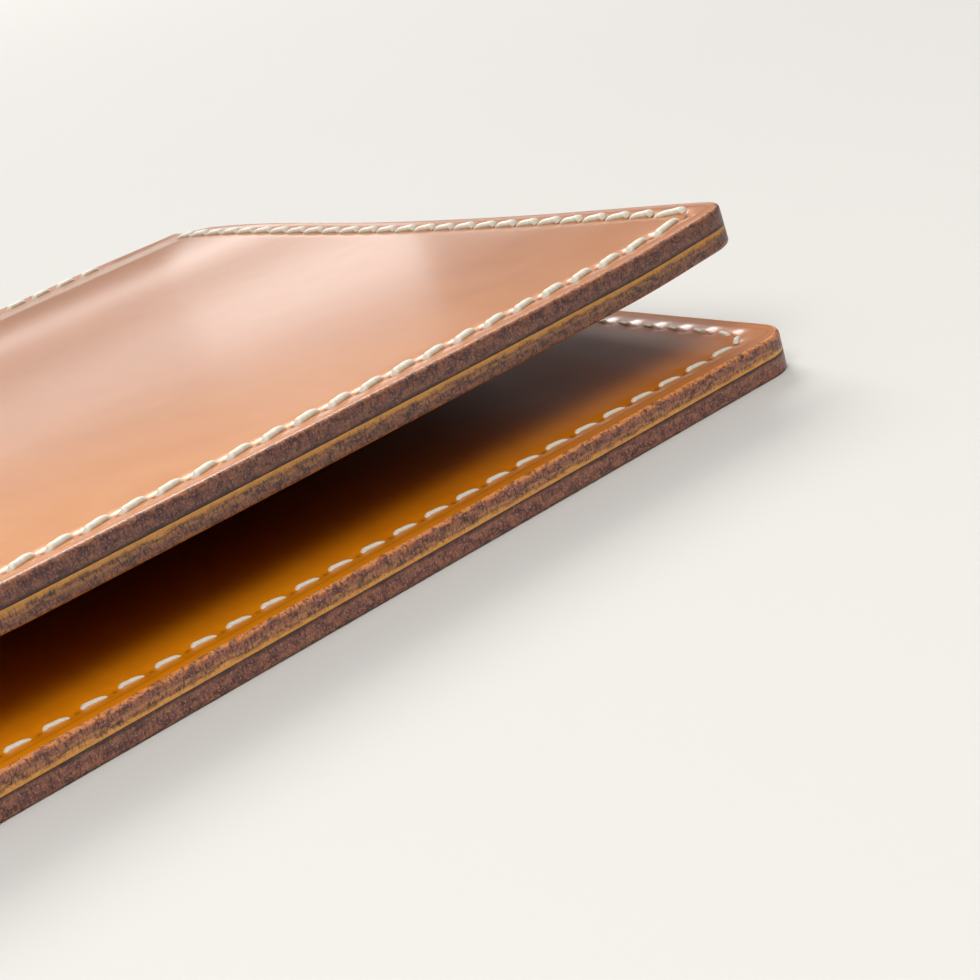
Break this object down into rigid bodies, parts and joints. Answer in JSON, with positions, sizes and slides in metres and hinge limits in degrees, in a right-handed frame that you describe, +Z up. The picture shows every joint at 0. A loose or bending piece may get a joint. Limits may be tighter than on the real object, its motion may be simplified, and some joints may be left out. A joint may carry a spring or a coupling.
{
  "type": "bifold wallet",
  "caption": "Saddle-stitched bifold wallet in thick vegetable-tanned leather, lying slightly open, with an inner panel pocket on each leaf and a fold along the spine.",
  "frame": {"origin": "on the surface the wallet lies on, below the middle of its box", "axes": "+X along the fold, -Y towards the free fore-edges, +Y towards the spine, +Z up"},
  "size_m": [0.0974, 0.1138, 0.0161],
  "materials": {
    "shell_leather": "burnished, semi-gloss",
    "panel_leather": "burnished, semi-gloss",
    "lining_leather": "satin",
    "waxed_thread": "waxed linen"
  },
  "bodies": {
    "lower_leaf": {"lower_shell": "shell_leather", "lower_inner_panel": "panel_leather", "lower_lining_flap": "lining_leather", "lower_edge_thread": "waxed_thread", "lower_spine_thread": "waxed_thread"},
    "spine": {"spine_shell": "shell_leather", "spine_lining": "lining_leather"},
    "upper_leaf": {"upper_shell": "shell_leather", "upper_inner_panel": "panel_leather", "upper_lining_flap": "lining_leather", "upper_edge_thread": "waxed_thread", "upper_spine_thread": "waxed_thread"}
  },
  "joints": [
    {"name": "lower_fold", "type": "hinge", "parent": "lower_leaf", "child": "spine", "pos_m": [0, 0.05509, 0.0017], "axis": [-1, 0, 0], "range_deg": [-1.95, 88.05]},
    {"name": "upper_fold", "type": "hinge", "parent": "spine", "child": "upper_leaf", "pos_m": [0, 0.05527, 0.007], "axis": [-1, 0, 0], "range_deg": [-1.95, 88.05]}
  ],
  "couplings": [
    {"joint": "upper_fold", "follows": "lower_fold", "ratio": 1}
  ]
}
